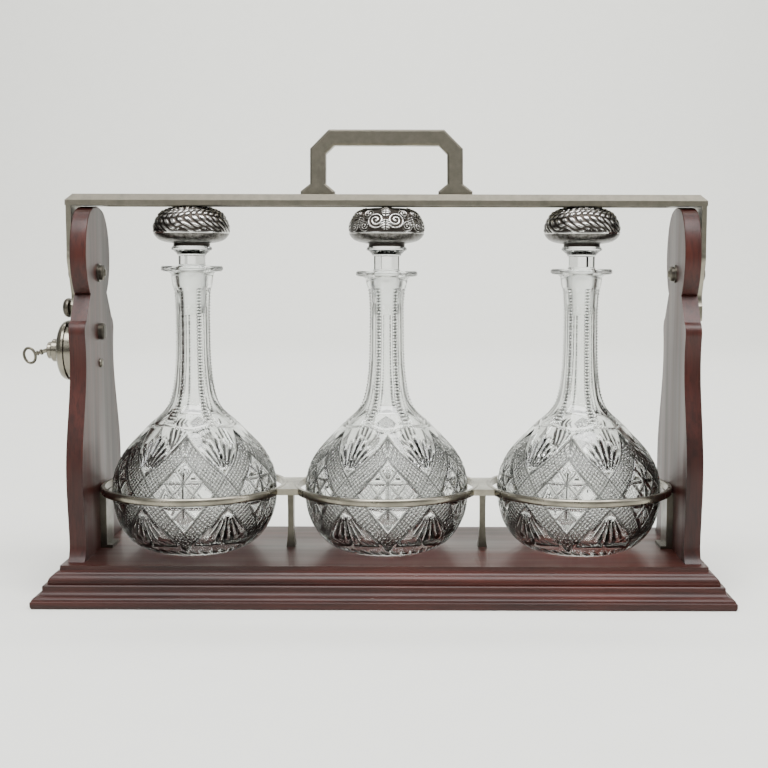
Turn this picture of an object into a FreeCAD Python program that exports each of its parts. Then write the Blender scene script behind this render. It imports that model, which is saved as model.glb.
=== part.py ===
"""Three-bottle spirit stand (tantalus): a moulded mahogany base with two shaped end panels, a metal
cradle that holds three globe-and-shaft decanters, and a hinged locking bar with a carrying handle.

Millimetres. Origin at the centre of the underside, +X to the viewer's right, +Y to the back, +Z up.
"""

import FreeCAD
import Part
import math
import os

V = FreeCAD.Vector

# ---------------------------------------------------------------- driving dimensions
BASE_LENGTH = 480.0
BASE_DEPTH = 163.4
PLINTH_TOP = 15.0
BOARD_TOP = 26.5

BOTTLE_PITCH = 141.0
BOTTLE_RADIUS = 60.0
BOTTLES = {"left": -BOTTLE_PITCH, "middle": 0.0, "right": BOTTLE_PITCH}
BOTTLE_LIFT = 0.1  # the foot stands this far above the board, as on a thin skin of polish

PANEL_INNER = 209.0
PANEL_THICKNESS = 11.5
PANEL_OUTER = PANEL_INNER + PANEL_THICKNESS
PANEL_ROUNDING = 0.8

PIVOT_Z = 227.0
PIVOT_SHANK = 3.0
RUNNING = 0.06  # radial clearance between pieces that turn on each other
SIDE_PLAY = 0.05
ARM_GAP = 3.5
ARM_THICKNESS = 3.6
ARM_INNER = PANEL_OUTER + ARM_GAP
ARM_OUTER = ARM_INNER + ARM_THICKNESS
ARM_HALF_WIDTH = 15.0
ARM_TAIL_END = 193.0
TAIL_HALF_WIDTH = 7.4

BAR_UNDERSIDE = 275.0
BAR_TOP = 283.2
BAR_HALF_LENGTH = 228.2
BAR_HALF_WIDTH = 15.0
BAR_BEVEL = 4.5
CHANNEL_DEPTH = 2.4  # the hollow in the bar's underside that clears the stopper caps
CHANNEL_HALF_WIDTH = 13.4
PANEL_CREST = BAR_UNDERSIDE - PIVOT_Z - 0.5  # radius about the pivot that the bar sweeps clear of

HANDLE_THICKNESS = 11.0
HANDLE_BEVEL = 1.3
HANDLE_TOP = 329.2
GRIP_HEIGHT = 11.2

RING_INNER = 64.3
RING_OUTER = 68.0
RING_LOW = 68.1
RING_HIGH = 73.3
BRIDGE_HALF_DEPTH = 25.0
BRIDGE_LOW = 68.5
BRIDGE_HIGH = 73.0

LOCK_Z = 170.6
LOCK_RADIUS = 21.4
KEY_SHANK = 1.6
KEY_CLEARANCE = 0.1
BOLT_TRAVEL = 5.0
KEY_DROOP = 17.0  # degrees that the worn key bends down outside the lock


# ---------------------------------------------------------------- helpers
def stroke(points):
    """An edge through the points: a line through two, an arc through three, a smooth curve through more."""
    if len(points) == 2:
        return Part.makeLine(points[0], points[1])
    if len(points) == 3:
        return Part.Arc(points[0], points[1], points[2]).toShape()
    curve = Part.BSplineCurve()
    curve.interpolate(points)
    return curve.toShape()


def outline(segments, place):
    """A planar face bounded by segments, each a list of 2-D points that place() puts in space."""
    edges = [stroke([place(a, b) for a, b in segment]) for segment in segments]
    return Part.Face(Part.Wire(Part.__sortEdges__(edges)))


def lathe(segments):
    """A solid turned about +Z from closed segments of (radius, height)."""
    face = outline(segments, lambda r, h: V(r, 0, h))
    return face.revolve(V(0, 0, 0), V(0, 0, 1), 360)


def polygon(points):
    """Closed straight segments through the points."""
    return [[a, b] for a, b in zip(points, points[1:] + points[:1])]


def ring_section(inner, outer, low, high):
    """A turned washer or tube of square section."""
    return lathe(polygon([(inner, low), (outer, low), (outer, high), (inner, high)]))


def rod(radius, low, high):
    return Part.makeCylinder(radius, high - low, V(0, 0, low))


def box(low, high):
    size = [b - a for a, b in zip(low, high)]
    return Part.makeBox(size[0], size[1], size[2], V(*low))


def moved(shape, x=0.0, y=0.0, z=0.0):
    copy = shape.copy()
    copy.translate(V(x, y, z))
    return copy


def mirrored(segments):
    """The same segments on the other side of the first coordinate's zero."""
    return [[(-a, b) for a, b in segment] for segment in segments]


def on_left(shape, z):
    """Stands a turned piece on the left panel: its height runs outwards, its +X runs up."""
    copy = shape.copy()
    copy.rotate(V(0, 0, 0), V(0, 1, 0), -90)
    copy.translate(V(-PANEL_OUTER, 0, z))
    return copy


def on_right(shape, z):
    return on_left(shape, z).mirror(V(0, 0, 0), V(1, 0, 0))


def eased(shape, radius, wanted):
    """Rounds the edges that wanted() picks."""
    return shape.makeFillet(radius, [edge for edge in shape.Edges if wanted(edge)])


def bevelled(shape, size, wanted):
    return shape.makeChamfer(size, [edge for edge in shape.Edges if wanted(edge)])


def lies_at(edge, axis, value):
    """True if the whole edge lies in the plane where this coordinate has this value."""
    low = getattr(edge.BoundBox, axis + "Min")
    high = getattr(edge.BoundBox, axis + "Max")
    return abs(low - value) < 1e-3 and abs(high - value) < 1e-3


# ---------------------------------------------------------------- base
PLINTH_EDGE = [  # (inset from the base's edge, height), from the bottom up
    [(1.0, 0), (0.2, 1.4), (0, 3.4)],
    [(0, 3.4), (0, 4.9)],
    [(0, 4.9), (0.8, 5.5)],
    [(0.8, 5.5), (1.7, 7.2), (3.5, 8.0)],
    [(3.5, 8.0), (5.6, 9.2), (6.8, 11.0)],
    [(6.8, 11.0), (6.8, PLINTH_TOP - 0.6)],
    [(6.8, PLINTH_TOP - 0.6), (7.4, PLINTH_TOP)],
]
BOARD_EDGE = [
    [(9.8, PLINTH_TOP), (10.5, 18.8), (13.4, 21.4)],
    [(13.4, 21.4), (14.2, 22.3)],
    [(14.2, 22.3), (16.5, 23.4)],
    [(16.5, 23.4), (16.5, BOARD_TOP)],
]


def moulded_board(edge):
    """A board whose edge moulding runs mitred round all four sides."""
    half_length = BASE_LENGTH / 2
    half_depth = BASE_DEPTH / 2

    def section(half, place):
        side = [[(half - inset, z) for inset, z in segment] for segment in edge]
        bottom = [side[0][0], (-side[0][0][0], side[0][0][1])]
        top = [side[-1][-1], (-side[-1][-1][0], side[-1][-1][1])]
        return outline(side + mirrored(side) + [bottom, top], place)

    along_x = section(half_depth, lambda s, z: V(-half_length, s, z)).extrude(V(BASE_LENGTH, 0, 0))
    along_y = section(half_length, lambda s, z: V(s, -half_depth, z)).extrude(V(0, BASE_DEPTH, 0))
    return along_x.common(along_y)


SCREW_SHANK = 2.0
PANEL_SCREW_Y = 34.0
PANEL_SCREW_TIP = 58.0


def countersunk_screw(head, shank, length):
    """A countersunk screw with its flat head at height 0 and its shank upwards."""
    return lathe(
        polygon([(0, 0), (head, 0), (shank, head - shank), (shank, length - shank), (0, length)])
    )


def panel_screws():
    """Four long screws up through both boards into the ends of the panels."""
    x = (PANEL_INNER + PANEL_OUTER) / 2
    screw = countersunk_screw(4.2, SCREW_SHANK, PANEL_SCREW_TIP - 1.0)
    return [moved(screw, sx * x, sy * PANEL_SCREW_Y, 1.0) for sx in (-1, 1) for sy in (-1, 1)]


def board_screws():
    """Six short screws that hold the plinth to the moulded board."""
    screw = countersunk_screw(3.6, 1.8, 20.0)
    return [moved(screw, x, y, 1.0) for x in (-180.0, 0.0, 180.0) for y in (-55.0, 55.0)]


def access_hole(screw):
    """Room for the screw and, below it, for the driver."""
    bounds = screw.BoundBox
    head = (bounds.XMax - bounds.XMin) / 2
    centre = bounds.Center
    return screw.fuse(moved(rod(head, -1.0, 1.0), centre.x, centre.y))


# ---------------------------------------------------------------- end panels
FOOT_HALF = 56.0
ANKLE = (51.0, 40.0)
SHOULDER = (40.6, 184.0)
SHOULDER_TOP = (35.4, 193.6)
QUIRK = (22.4, 212.4)
HEAD_START = (24.6, 213.2)
CREST_HALF = 17.0


def panel_blank():
    """The shaped outline of an end panel, (y, z), symmetric front to back."""
    crest_z = PIVOT_Z + math.sqrt(PANEL_CREST**2 - CREST_HALF**2)
    side = [
        [(FOOT_HALF, BOARD_TOP), (52.3, 31.5), ANKLE],
        [
            ANKLE,
            (52.8, 58.0),
            (55.0, 84.0),
            (54.2, 98.0),
            (51.0, 113.0),
            (46.5, 128.0),
            (42.6, 141.0),
            (39.8, 153.0),
            (38.6, 165.0),
            (39.0, 175.0),
            SHOULDER,
        ],
        [SHOULDER, (39.8, 189.4), SHOULDER_TOP],
        [SHOULDER_TOP, QUIRK],
        [QUIRK, HEAD_START],
        [HEAD_START, (31.2, 224.5), (33.7, 238.0), (32.0, 251.0), (26.5, 263.0), (CREST_HALF, crest_z)],
    ]
    foot = [(FOOT_HALF, BOARD_TOP), (-FOOT_HALF, BOARD_TOP)]
    crest = [(CREST_HALF, crest_z), (0.0, PIVOT_Z + PANEL_CREST), (-CREST_HALF, crest_z)]
    face = outline(side + mirrored(side) + [foot, crest], lambda y, z: V(PANEL_INNER, y, z))
    blank = face.extrude(V(PANEL_THICKNESS, 0, 0))

    def long_edge(edge):
        on_face = lies_at(edge, "X", PANEL_INNER) or lies_at(edge, "X", PANEL_OUTER)
        return on_face and edge.BoundBox.ZMin > HEAD_START[1] - 0.1

    return eased(blank, PANEL_ROUNDING, long_edge)


# ---------------------------------------------------------------- pivots
def pivot_bolt():
    """Domed head outside the arm, shank through arm, spacer and panel, end riveted over the nut."""
    head_low = ARM_OUTER - PANEL_OUTER + SIDE_PLAY
    tip = -(PANEL_THICKNESS + 5.6)
    head = [
        [(0, head_low), (6.4, head_low)],
        [(6.4, head_low), (6.4, head_low + 0.8)],
        [(6.4, head_low + 0.8), (4.2, head_low + 2.2), (1.6, head_low + 2.7)],
        [(1.6, head_low + 2.7), (0, head_low + 2.7)],
        [(0, head_low + 2.7), (0, head_low)],
    ]
    corners = [(0, tip), (2.0, tip), (PIVOT_SHANK, tip + 1.0), (PIVOT_SHANK, head_low), (0, head_low)]
    return lathe(head).fuse(lathe(polygon(corners))).removeSplitter()


def pivot_spacer():
    return ring_section(PIVOT_SHANK, 6.6, 0.0, ARM_GAP - SIDE_PLAY)


def pivot_washer():
    return ring_section(PIVOT_SHANK, 6.6, -PANEL_THICKNESS - 1.1, -PANEL_THICKNESS)


NUT_SLOT = 1.2


def round_nut(hole, radius, base, height):
    """A round nut standing on the panel's inner face, domed and slotted for a driver."""
    low = -(base + height)
    body = lathe(
        [
            [(hole, -base), (radius, -base)],
            [(radius, -base), (radius, low + 1.2)],
            [(radius, low + 1.2), (radius - 0.9, low + 0.3), (radius - 2.2, low)],
            [(radius - 2.2, low), (hole, low)],
            [(hole, low), (hole, -base)],
        ]
    )
    slot = box((-radius, -NUT_SLOT / 2, low - 0.1), (radius, NUT_SLOT / 2, low + NUT_SLOT))
    return body.cut(slot)


# ---------------------------------------------------------------- cradle
def ring():
    """A flat-sided hoop with a convex outer face."""
    middle = (RING_LOW + RING_HIGH) / 2
    return lathe(
        [
            [(RING_INNER, RING_LOW), (RING_OUTER - 0.7, RING_LOW)],
            [(RING_OUTER - 0.7, RING_LOW), (RING_OUTER, middle), (RING_OUTER - 0.7, RING_HIGH)],
            [(RING_OUTER - 0.7, RING_HIGH), (RING_INNER, RING_HIGH)],
            [(RING_INNER, RING_HIGH), (RING_INNER, RING_LOW)],
        ]
    )


def bridge(x, rings):
    """The waisted plate that joins two neighbouring rings."""
    half = BOTTLE_PITCH / 2
    plate = box((x - half, -BRIDGE_HALF_DEPTH, BRIDGE_LOW), (x + half, BRIDGE_HALF_DEPTH, BRIDGE_HIGH))
    for centre in (x - half, x + half):
        plate = plate.cut(moved(rod(RING_INNER + 1.0, BRIDGE_LOW - 1, BRIDGE_HIGH + 1), centre))
    return plate.cut(rings)


def strap_post(x, top, widths, depths):
    """An upright strap whose width and depth change along its height: (half size, height) pairs."""
    front = [widths, [widths[-1], (-widths[-1][0], top)], [(-w, z) for w, z in widths]]
    front.append([widths[0], (-widths[0][0], BOARD_TOP)])
    side = [depths, [depths[-1], (-depths[-1][0], top)], [(-d, z) for d, z in depths]]
    side.append([depths[0], (-depths[0][0], BOARD_TOP)])
    across = outline(front, lambda a, z: V(a, -20, z)).extrude(V(0, 40, 0))
    along = outline(side, lambda a, z: V(-20, a, z)).extrude(V(40, 0, 0))
    return moved(across.common(along), x)


def pillar(x):
    top = BRIDGE_LOW
    widths = [(3.3, BOARD_TOP), (2.5, 33.0), (2.1, 46.0), (2.1, 58.0), (2.4, top)]
    depths = [(5.6, BOARD_TOP), (4.8, 33.0), (4.3, 46.0), (4.4, 58.0), (5.0, top)]
    return strap_post(x, top, widths, depths)


BRACKET_THICKNESS = 4.5
BRACKET_HALF = 10.5
BRACKET_SCREW_Z = 48.0


def end_bracket():
    """The strap up the inside of an end panel that carries the outer ring."""
    inside = PANEL_INNER - BRACKET_THICKNESS
    strap = box((inside, -BRACKET_HALF, BOARD_TOP), (PANEL_INNER, BRACKET_HALF, RING_LOW))
    foot = box((inside - 4.0, -BRACKET_HALF, BOARD_TOP), (PANEL_INNER, BRACKET_HALF, BOARD_TOP + 2.2))
    return strap.fuse(foot).removeSplitter()


def bracket_screw():
    """A countersunk screw through the bracket into the panel, in the left panel's turned frame."""
    screw = countersunk_screw(3.6, 1.8, 11.0)
    return moved(screw, 0, 0, -PANEL_THICKNESS - BRACKET_THICKNESS)


# ---------------------------------------------------------------- decanters and stoppers
LIP_TOPS = {"left": 232.1, "middle": 228.7, "right": 230.5}  # hand-made necks differ in length
LIP_RADIUS = 22.3
LIP_THICKNESS = 3.9
NECK_BORE = 9.0
PLUG_TIP = 197.0
PLUG_TIP_RADIUS = 7.9
PLUG_TAPER = 0.06  # radius gained per millimetre of height
GROUND_LOW = 204.0
GROUND_CLEARANCE = 0.08


def plug_radius(z):
    """The ground stopper's taper."""
    return PLUG_TIP_RADIUS + PLUG_TAPER * (z - PLUG_TIP)


def decanter(lip_top):
    """Blown globe, long shaft and disc-shaped lip, hollow, with a ground socket for its stopper."""
    foot_z = BOARD_TOP + BOTTLE_LIFT
    lip_low = lip_top - LIP_THICKNESS
    socket_low = plug_radius(GROUND_LOW) + GROUND_CLEARANCE
    socket_top = plug_radius(lip_top) + GROUND_CLEARANCE
    outside = [
        [(0, foot_z + 1.6), (28.0, foot_z + 1.6)],
        [(28.0, foot_z + 1.6), (31.0, foot_z)],
        [(31.0, foot_z), (35.4, foot_z)],
        [
            (35.4, foot_z),
            (44.4, 31.4),
            (52.4, 40.5),
            (57.6, 52.0),
            (BOTTLE_RADIUS, 68.0),
            (57.8, 84.0),
            (50.4, 97.5),
            (39.0, 110.3),
            (30.0, 119.4),
            (21.8, 127.6),
            (17.6, 136.0),
            (15.3, 146.0),
            (13.6, 163.0),
            (13.1, 185.0),
            (13.7, 212.0),
            (15.2, lip_low - 2.6),
        ],
        [(15.2, lip_low - 2.6), (17.0, lip_low - 0.8), (21.0, lip_low)],
        [(21.0, lip_low), (LIP_RADIUS, lip_low + 1.0)],
        [(LIP_RADIUS, lip_low + 1.0), (LIP_RADIUS, lip_top - 1.0)],
        [(LIP_RADIUS, lip_top - 1.0), (21.4, lip_top)],
    ]
    inside = [
        [(21.4, lip_top), (socket_top, lip_top)],
        [(socket_top, lip_top), (socket_low, GROUND_LOW)],
        [(socket_low, GROUND_LOW), (NECK_BORE, GROUND_LOW - 2.0)],
        [
            (NECK_BORE, GROUND_LOW - 2.0),
            (9.0, 185.0),
            (9.5, 163.0),
            (11.0, 146.0),
            (14.0, 132.5),
            (21.0, 122.0),
            (32.0, 109.5),
            (43.0, 98.0),
            (51.0, 85.5),
            (54.4, 68.0),
            (51.6, 52.5),
            (45.0, 41.5),
            (35.0, 35.6),
            (20.0, 33.4),
        ],
        [(20.0, 33.4), (0, 33.0)],
        [(0, 33.0), (0, foot_z + 1.6)],
    ]
    return lathe(outside + inside)


FLANGE_RADIUS = 14.6
FLANGE_TOP = 246.4
SHAFT_APOTHEM = 9.0
SHAFT_SIDES = 8
STUB_RADIUS = 8.0
STUB_TOP = 258.0


def stopper_glass(lip_top):
    """Ground plug, faceted shaft, belled flange and the stub that the metal cap is cemented to."""
    shaft_low = lip_top + 1.2
    shaft_high = 239.2
    plug = lathe(
        polygon(
            [
                (0, PLUG_TIP),
                (PLUG_TIP_RADIUS - 0.6, PLUG_TIP),
                (plug_radius(PLUG_TIP + 1.0), PLUG_TIP + 1.0),
                (plug_radius(lip_top), lip_top),
                (plug_radius(lip_top), shaft_low),
                (0, shaft_low),
            ]
        )
    )
    corner = SHAFT_APOTHEM / math.cos(math.pi / SHAFT_SIDES)
    turns = [2 * math.pi * (k + 0.5) / SHAFT_SIDES for k in range(SHAFT_SIDES)]
    corners = [V(corner * math.cos(a), corner * math.sin(a), shaft_low) for a in turns]
    octagon = Part.Face(Part.makePolygon(corners + corners[:1]))
    shaft = octagon.extrude(V(0, 0, shaft_high - shaft_low))
    top = lathe(
        [
            [(0, shaft_high), (10.1, shaft_high)],
            [(10.1, shaft_high), (11.8, 241.7), (14.2, 243.5)],
            [(14.2, 243.5), (FLANGE_RADIUS, 243.9)],
            [(FLANGE_RADIUS, 243.9), (FLANGE_RADIUS, 244.9)],
            [(FLANGE_RADIUS, 244.9), (13.6, FLANGE_TOP)],
            [(13.6, FLANGE_TOP), (STUB_RADIUS, FLANGE_TOP)],
            [(STUB_RADIUS, FLANGE_TOP), (STUB_RADIUS, STUB_TOP)],
            [(STUB_RADIUS, STUB_TOP), (0, STUB_TOP)],
            [(0, STUB_TOP), (0, shaft_high)],
        ]
    )
    return plug.fuse([shaft, top]).removeSplitter()


CAP_COLLAR = 13.1
CAP_BORE = STUB_RADIUS + 0.1
CAP_TOP = 274.6


def stopper_cap():
    """Hollow drum-shaped metal cap with a short collar that stands on the stopper's flange."""
    outside = [
        [(CAP_BORE, FLANGE_TOP), (CAP_COLLAR, FLANGE_TOP)],
        [(CAP_COLLAR, FLANGE_TOP), (CAP_COLLAR, 248.3)],
        [
            (CAP_COLLAR, 248.3),
            (17.5, 249.0),
            (23.9, 251.3),
            (26.9, 255.0),
            (27.8, 259.4),
            (26.3, 264.8),
            (24.7, 267.8),
            (23.2, 270.0),
            (20.7, 271.9),
            (17.5, 273.3),
            (15.0, 274.2),
        ],
        [(15.0, 274.2), (0, CAP_TOP)],
    ]
    inside = [
        [(0, CAP_TOP), (0, CAP_TOP - 1.4)],
        [(0, CAP_TOP - 1.4), (14.4, 272.8)],
        [
            (14.4, 272.8),
            (16.8, 271.9),
            (19.7, 270.6),
            (21.9, 268.9),
            (23.3, 267.0),
            (24.9, 264.2),
            (26.3, 259.3),
            (25.6, 255.8),
            (23.0, 252.6),
            (17.3, 250.5),
            (13.0, 249.8),
        ],
        [(13.0, 249.8), (CAP_BORE, 249.6)],
        [(CAP_BORE, 249.6), (CAP_BORE, FLANGE_TOP)],
    ]
    return lathe(outside + inside)


# ---------------------------------------------------------------- locking bar
TENON_HALF = 8.0
TENON_TOP = 279.0
KNOB_Z = 201.6
KNOB_RADIUS = 6.9
KNOB_STEM = 2.0
KNOB_HEIGHT = 7.3
NOTCH_HALF = 5.4
NOTCH_DEPTH = 3.5


def arm(notched):
    """The right-hand arm: wide head tenoned into the bar, waisted round the pivot, narrow tail."""
    side = [
        [(ARM_HALF_WIDTH, BAR_UNDERSIDE), (ARM_HALF_WIDTH, 242.0)],
        [(ARM_HALF_WIDTH, 242.0), (14.6, 234.0), (11.4, 227.0), (8.2, 219.0), (5.4, 212.0)],
        [(5.4, 212.0), (5.6, 208.0), (TAIL_HALF_WIDTH, 204.0)],
        [(TAIL_HALF_WIDTH, 204.0), (TAIL_HALF_WIDTH, 195.0)],
        [(TAIL_HALF_WIDTH, 195.0), (6.9, 193.7), (6.0, ARM_TAIL_END)],
    ]
    tail = [side[-1][-1], (-side[-1][-1][0], ARM_TAIL_END)]
    head = [
        [(ARM_HALF_WIDTH, BAR_UNDERSIDE), (TENON_HALF, BAR_UNDERSIDE)],
        [(TENON_HALF, BAR_UNDERSIDE), (TENON_HALF, TENON_TOP)],
    ]
    top = [(TENON_HALF, TENON_TOP), (-TENON_HALF, TENON_TOP)]
    segments = side + mirrored(side) + head + mirrored(head) + [tail, top]
    plate = outline(segments, lambda y, z: V(ARM_INNER, y, z)).extrude(V(ARM_THICKNESS, 0, 0))
    pivot = on_right(rod(PIVOT_SHANK + RUNNING, 0, 20), PIVOT_Z)
    plate = plate.cut(pivot)
    if notched:
        notch = box(
            (ARM_INNER - 1, -NOTCH_HALF, ARM_TAIL_END - 1),
            (ARM_OUTER + 1, NOTCH_HALF, ARM_TAIL_END + NOTCH_DEPTH),
        )
        stem = on_right(rod(KNOB_STEM, 0, 20), KNOB_Z)
        plate = plate.cut(notch).cut(stem)
    return plate


def thumb_knob():
    """A turned knob riveted through the tail of the left arm."""
    seat = ARM_OUTER - PANEL_OUTER
    back = ARM_INNER - PANEL_OUTER
    body = [
        [(0, back), (KNOB_STEM, back)],
        [(KNOB_STEM, back), (KNOB_STEM, seat)],
        [(KNOB_STEM, seat), (4.2, seat)],
        [(4.2, seat), (4.5, seat + 1.2), (KNOB_RADIUS, seat + 2.4)],
        [(KNOB_RADIUS, seat + 2.4), (KNOB_RADIUS - 0.2, seat + 4.8), (4.8, seat + 6.6)],
        [(4.8, seat + 6.6), (3.2, seat + 7.1), (1.4, seat + KNOB_HEIGHT)],
        [(1.4, seat + KNOB_HEIGHT), (0, seat + KNOB_HEIGHT)],
        [(0, seat + KNOB_HEIGHT), (0, back)],
    ]
    return on_left(lathe(body), KNOB_Z)


CHANNEL_HALF_LENGTH = 204.0
CHANNEL_CEILING = BAR_UNDERSIDE + CHANNEL_DEPTH
HANDLE_SCREW_X = 49.2
HANDLE_SCREW_TOP = 296.0


def top_bar(cutters):
    """The locking bar's plate with hipped upper edges."""
    low = (-BAR_HALF_LENGTH, -BAR_HALF_WIDTH, CHANNEL_CEILING)
    bar = box(low, (BAR_HALF_LENGTH, BAR_HALF_WIDTH, BAR_TOP))
    bar = bevelled(bar, BAR_BEVEL, lambda edge: lies_at(edge, "Z", BAR_TOP))
    return bar.cut(cutters)


def bar_lip(side):
    """The strip brazed under the bar's front (-1) or back (+1) edge; the caps pass between the two."""
    ends = sorted((side * CHANNEL_HALF_WIDTH, side * BAR_HALF_WIDTH))
    low = (-CHANNEL_HALF_LENGTH, ends[0], BAR_UNDERSIDE)
    return box(low, (CHANNEL_HALF_LENGTH, ends[1], CHANNEL_CEILING))


def bar_end(side, cutters):
    """The block brazed under the bar's left (-1) or right (+1) end, which takes the arm's tenon."""
    ends = sorted((side * CHANNEL_HALF_LENGTH, side * BAR_HALF_LENGTH))
    low = (ends[0], -BAR_HALF_WIDTH, BAR_UNDERSIDE)
    return box(low, (ends[1], BAR_HALF_WIDTH, CHANNEL_CEILING)).cut(cutters)


def handle_outline():
    """The carrying handle's shape from the front, (x, z): splayed feet and clipped corners."""
    outer = [
        (61.6, BAR_TOP),
        (61.6, 285.6),
        (54.8, 290.9),
        (54.6, HANDLE_TOP - 13.4),
        (41.2, HANDLE_TOP),
    ]
    grip_low = HANDLE_TOP - GRIP_HEIGHT
    inner = [(37.4, grip_low), (43.4, grip_low - 6.0), (43.6, 290.9), (37.2, 285.6), (37.2, BAR_TOP)]
    right = [[a, b] for a, b in zip(outer, outer[1:])] + [[a, b] for a, b in zip(inner, inner[1:])]
    right.append([inner[-1], outer[0]])
    across = [[outer[-1], (-outer[-1][0], HANDLE_TOP)], [inner[0], (-inner[0][0], grip_low)]]
    return right + mirrored(right) + across


def handle(screws):
    half = HANDLE_THICKNESS / 2
    bail = outline(handle_outline(), lambda x, z: V(x, -half, z)).extrude(V(0, HANDLE_THICKNESS, 0))

    def arris(edge):
        on_face = lies_at(edge, "Y", half) or lies_at(edge, "Y", -half)
        return on_face and not lies_at(edge, "Z", BAR_TOP)

    return bevelled(bail, HANDLE_BEVEL, arris).cut(screws)


def handle_screws():
    """Two countersunk screws up through the bar into the handle's feet."""
    screw = countersunk_screw(4.0, SCREW_SHANK, HANDLE_SCREW_TOP - CHANNEL_CEILING)
    return [moved(screw, side * HANDLE_SCREW_X, 0, CHANNEL_CEILING) for side in (-1, 1)]


# ---------------------------------------------------------------- lock, in the left panel's turned frame
BACKPLATE_THICKNESS = 1.5
CASE_RADIUS = 20.2
CASE_BORE = 18.6
COVER_RADIUS = 21.8
COVER_LOW = 9.8
BARREL_RADIUS = 8.3
BARREL_START = 17.6
BARREL_END = 23.0
BOSS_RADIUS = 6.2
BOSS_END = 26.2
SPIGOT_RADIUS = 6.0
SPIGOT_LOW = 15.0
BIT_REACH = 5.6
BIT_HALF = 0.6
BOLT_LOW = 4.4
BOLT_HIGH = 6.0
BOLT_TOP = 19.7
TONGUE_HALF = 5.0
STUD_UP = 13.8
STUD_RADIUS = 2.2
LOCK_SCREW_UP = -9.3
LOCK_SCREW_RADIUS = 1.5


def lock_backplate():
    rim = BACKPLATE_THICKNESS
    return lathe(
        [
            [(0, 0), (LOCK_RADIUS, 0)],
            [(LOCK_RADIUS, 0), (LOCK_RADIUS, rim - 0.5)],
            [(LOCK_RADIUS, rim - 0.5), (LOCK_RADIUS - 0.5, rim)],
            [(LOCK_RADIUS - 0.5, rim), (0, rim)],
            [(0, rim), (0, 0)],
        ]
    )


def keyway(low, high):
    """The keyhole: a round bore with a slot below it for the bit."""
    bore = rod(KEY_SHANK + KEY_CLEARANCE, low, high)
    slot = box((-BIT_REACH - 0.2, -BIT_HALF - 0.15, low), (0, BIT_HALF + 0.15, high))
    return bore.fuse(slot)


def lock_case():
    """A drum with an overhanging domed cover, hollow for the bolt, slotted through its upper wall."""
    base = BACKPLATE_THICKNESS
    drum = lathe(
        [
            [(0, base), (CASE_RADIUS, base)],
            [(CASE_RADIUS, base), (CASE_RADIUS, COVER_LOW)],
            [(CASE_RADIUS, COVER_LOW), (COVER_RADIUS, COVER_LOW + 0.4)],
            [(COVER_RADIUS, COVER_LOW + 0.4), (COVER_RADIUS, 11.5)],
            [(COVER_RADIUS, 11.5), (20.8, 13.8), (17.4, 15.9)],
            [(17.4, 15.9), (13.0, 17.1), (BARREL_RADIUS, BARREL_START)],
            [(BARREL_RADIUS, BARREL_START), (0, BARREL_START)],
            [(0, BARREL_START), (0, base)],
        ]
    )
    hollow = lathe(
        polygon(
            [
                (0, base),
                (CASE_BORE, base),
                (CASE_BORE, 10.6),
                (15.4, 13.6),
                (SPIGOT_RADIUS + 0.5, SPIGOT_LOW),
                (0, SPIGOT_LOW),
            ]
        )
    )
    slot = box((10, -TONGUE_HALF - 0.1, BOLT_LOW - 0.1), (25, TONGUE_HALF + 0.1, BOLT_HIGH + 0.1))
    return drum.cut(hollow).cut(slot).cut(rod(SPIGOT_RADIUS, SPIGOT_LOW - 1, BARREL_START + 1))


def lock_barrel():
    """The round key guide that stands out of the case."""
    body = lathe(
        [
            [(0, SPIGOT_LOW), (SPIGOT_RADIUS, SPIGOT_LOW)],
            [(SPIGOT_RADIUS, SPIGOT_LOW), (SPIGOT_RADIUS, BARREL_START)],
            [(SPIGOT_RADIUS, BARREL_START), (BARREL_RADIUS, BARREL_START)],
            [(BARREL_RADIUS, BARREL_START), (BARREL_RADIUS, BARREL_END - 0.8)],
            [(BARREL_RADIUS, BARREL_END - 0.8), (BARREL_RADIUS - 0.8, BARREL_END)],
            [(BARREL_RADIUS - 0.8, BARREL_END), (BOSS_RADIUS, BARREL_END)],
            [(BOSS_RADIUS, BARREL_END), (BOSS_RADIUS, BOSS_END - 0.6)],
            [(BOSS_RADIUS, BOSS_END - 0.6), (BOSS_RADIUS - 0.6, BOSS_END)],
            [(BOSS_RADIUS - 0.6, BOSS_END), (0, BOSS_END)],
            [(0, BOSS_END), (0, SPIGOT_LOW)],
        ]
    )
    return body.cut(keyway(SPIGOT_LOW - 1.0, BOSS_END + 1.0))


def lock_bolt():
    """The sliding bolt: a plate with a window for the key, a talon that the bit lifts, and a tongue."""
    plate = box((-11.0, -9.0, BOLT_LOW), (10.0, 9.0, BOLT_HIGH))
    tongue = box((10.0, -TONGUE_HALF, BOLT_LOW), (BOLT_TOP, TONGUE_HALF, BOLT_HIGH))
    window = box((-7.1, -2.2, BOLT_LOW - 1), (2.2, 3.6, BOLT_HIGH + 1))
    under_talon = box((-7.1, 3.6, BOLT_LOW - 1), (-4.3, 6.2, BOLT_HIGH + 1))
    return plate.fuse(tongue).cut(window).cut(under_talon).removeSplitter()


KEY_TIP = 3.2
BIT_LOW = 4.0
BIT_HIGH = 6.6
BEND = BOSS_END + 1.0
BOW_LENGTH = 10.0
BOW_WIDTH = 13.0
BOW_WIRE = 0.95
BOW_START = 35.6


def oval_slab(inset):
    """A flat oval as thick as the bow's wire, this far inside the bow's outline."""
    rim = Part.Ellipse(V(0, 0, -BOW_WIRE), BOW_WIDTH / 2 - inset, BOW_LENGTH / 2 - inset)
    face = Part.Face(Part.Wire(rim.toShape()))
    return face.extrude(V(0, 0, 2 * BOW_WIRE))


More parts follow.
